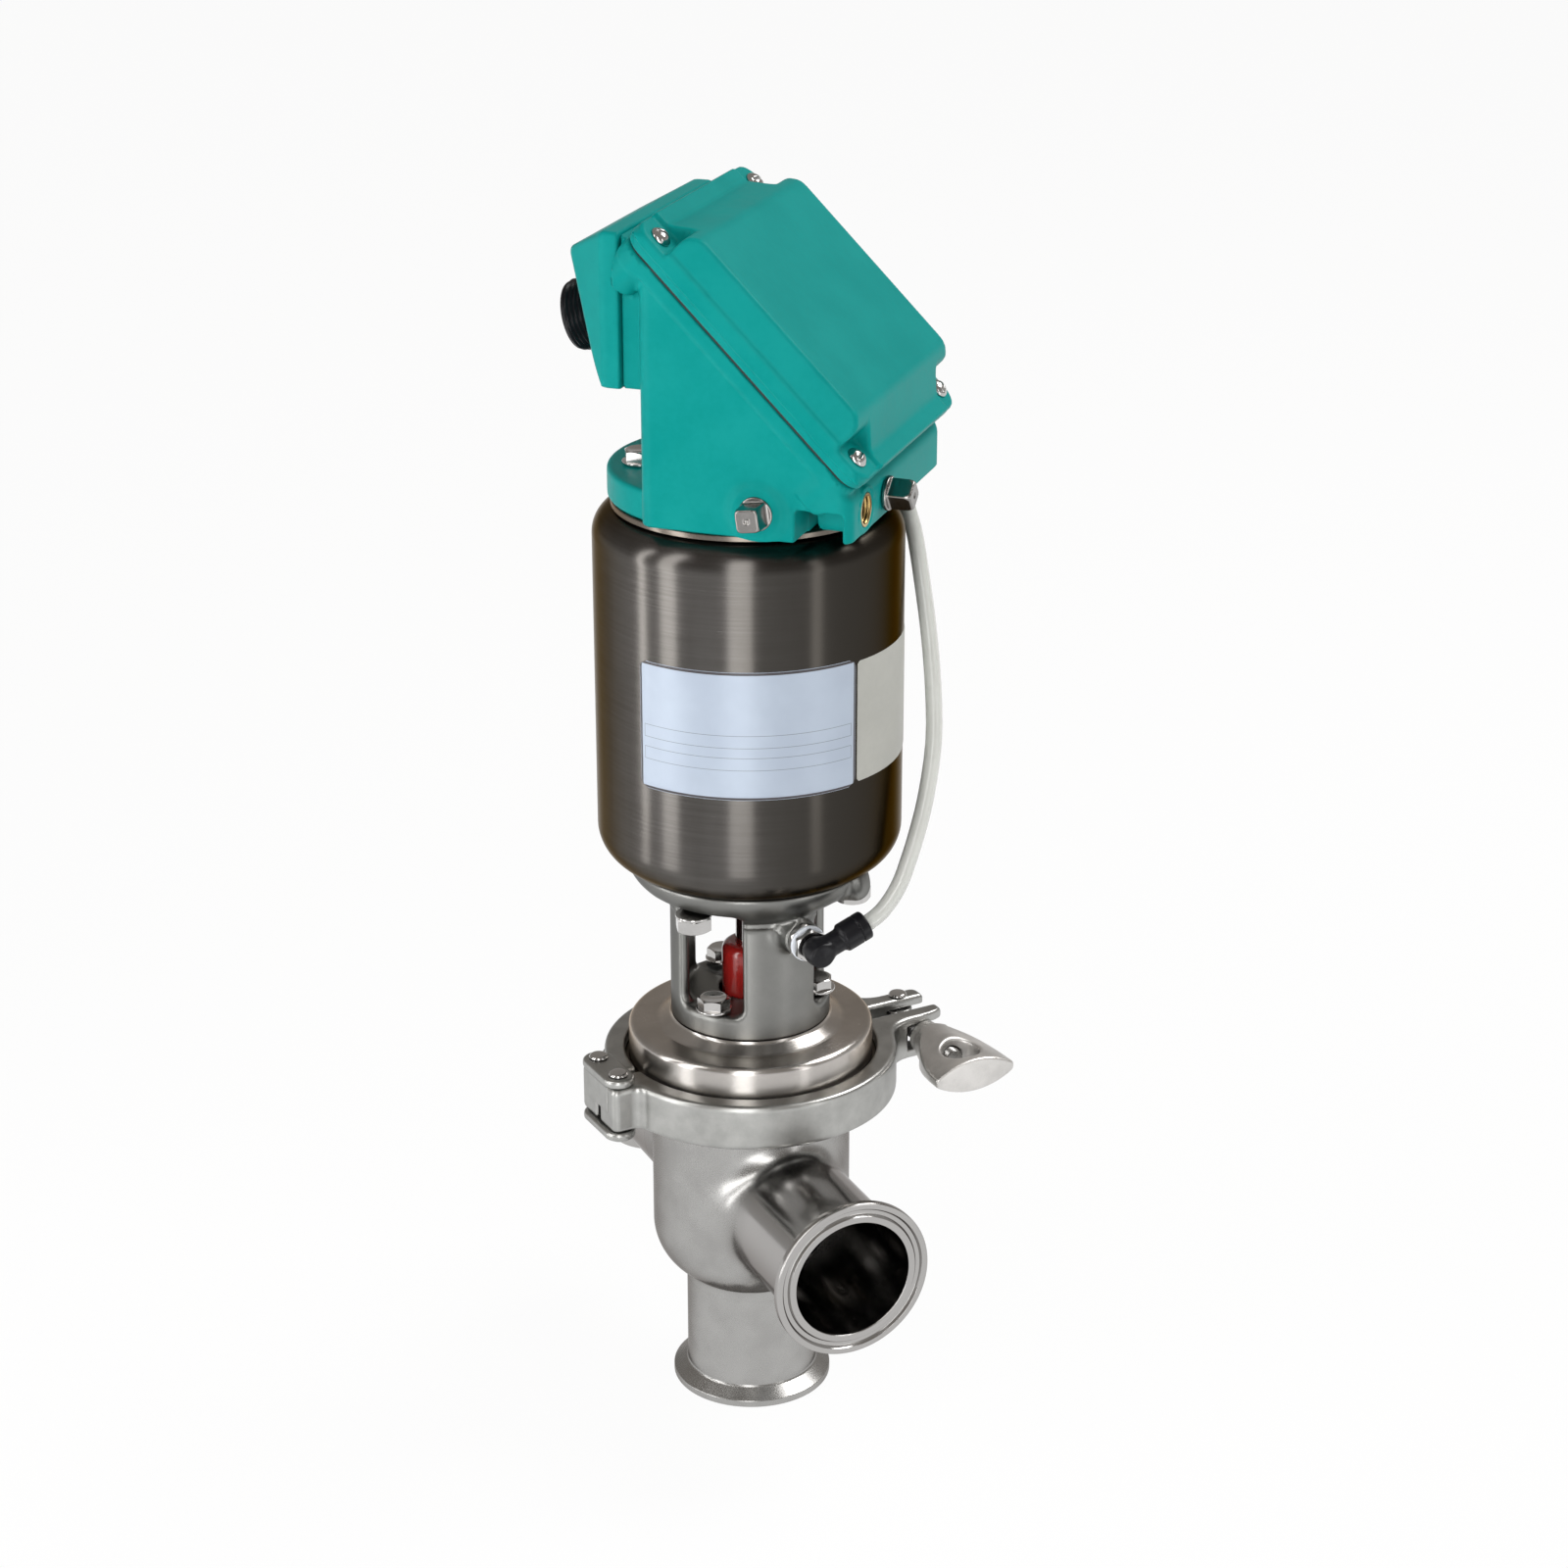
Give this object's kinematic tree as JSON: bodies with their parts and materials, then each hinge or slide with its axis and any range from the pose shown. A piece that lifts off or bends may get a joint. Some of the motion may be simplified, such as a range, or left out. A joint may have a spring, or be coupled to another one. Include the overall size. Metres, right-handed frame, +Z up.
{
  "type": "air-actuated sanitary seat valve",
  "caption": "Upright air-actuated seat valve: clamp-ferrule body, clamped bonnet, open yoke, spring-return steel cylinder and a control head with a sloping lid.",
  "frame": {"origin": "bottom centre of the bounding box, on the plane of the bottom ferrule's face; the valve's axis stands 12.2 mm to its left, at x = -0.01216, y = 0", "axes": "+Z up along the valve's axis, -Y out of the front port, +X towards the wing nut"},
  "size_m": [0.1628, 0.1868, 0.4885],
  "materials": {
    "steel": "satin stainless",
    "cast_steel": "cast stainless, matt",
    "brushed_steel": "brushed stainless shell",
    "bright_steel": "bright plated or polished steel",
    "spring_steel": "dark spring wire",
    "bronze_bush": "bearing bronze",
    "green_paint": "smooth teal enamel on a casting",
    "red_enamel": "glossy red",
    "black_rubber": "black rubber",
    "white_seal": "white sealing plastic",
    "black_plastic": "black moulded plastic",
    "milky_tube": "milky translucent tube",
    "grey_plastic": "grey moulded plastic"
  },
  "bodies": {
    "valve": {"valve_body": "steel", "bottom_port_tube": "steel", "front_port_tube": "steel", "rear_port_tube": "steel", "bonnet": "steel", "body_gasket": "black_rubber", "clamp_rear_half": "cast_steel", "clamp_front_half": "cast_steel", "hinge_link_top": "cast_steel", "hinge_link_bottom": "cast_steel", "hinge_pin_front": "bright_steel", "hinge_pin_rear": "bright_steel", "swing_bolt_pin": "bright_steel", "yoke": "cast_steel", "yoke_bolt_1": "bright_steel", "yoke_bolt_2": "bright_steel", "yoke_bolt_3": "bright_steel", "cap_bolt_1": "bright_steel", "cap_bolt_2": "bright_steel", "cap_bolt_3": "bright_steel", "stem_bushing": "bronze_bush", "stem_seal": "black_rubber", "spring": "spring_steel", "cylinder": "brushed_steel", "cylinder_base": "steel", "top_plate": "bright_steel", "head_housing": "green_paint", "head_cover": "green_paint", "cover_gasket": "black_rubber", "cover_screw_1": "bright_steel", "cover_screw_2": "bright_steel", "cover_screw_3": "bright_steel", "cover_screw_4": "bright_steel", "side_plug": "bright_steel", "front_plug": "bright_steel", "head_bolt_1": "bright_steel", "head_bolt_2": "bright_steel", "terminal_box_cover": "green_paint", "conduit_fitting": "black_plastic", "air_fitting": "bright_steel", "fitting_seal_ring": "white_seal", "air_elbow": "black_plastic", "head_air_fitting": "black_plastic", "air_hose": "milky_tube", "switch_bracket": "steel", "switch_lower": "black_plastic", "switch_upper": "black_plastic", "pilot_valve": "black_plastic", "terminal_strip": "grey_plastic"},
    "stem_train": {"plug": "steel", "plug_seal": "white_seal", "valve_stem": "steel", "stem_coupling": "red_enamel", "actuator_rod": "bright_steel", "piston": "steel", "piston_seal": "black_rubber", "rod_nut": "bright_steel", "switch_target": "black_plastic"},
    "swing_bolt": {"swing_bolt": "steel"},
    "wing_nut": {"wing_nut": "cast_steel"}
  },
  "joints": [
    {"name": "stem_travel", "type": "slide", "parent": "valve", "child": "stem_train", "axis": [0, 0, 1], "range_m": [0, 0.022], "stiffness_N_per_m": 8000, "springref_m": -0.02, "deforming": ["spring"]},
    {"name": "bolt_swing", "type": "hinge", "parent": "valve", "child": "swing_bolt", "pos_m": [0.05969, 0.01281, 0.14005], "axis": [0, 0, 1], "range_deg": [0, 95]},
    {"name": "wing_nut_spin", "type": "hinge", "parent": "swing_bolt", "child": "wing_nut", "pos_m": [0.06271, -0.0366, 0.14005], "axis": [0.061, -0.9981, 0], "continuous": true}
  ]
}
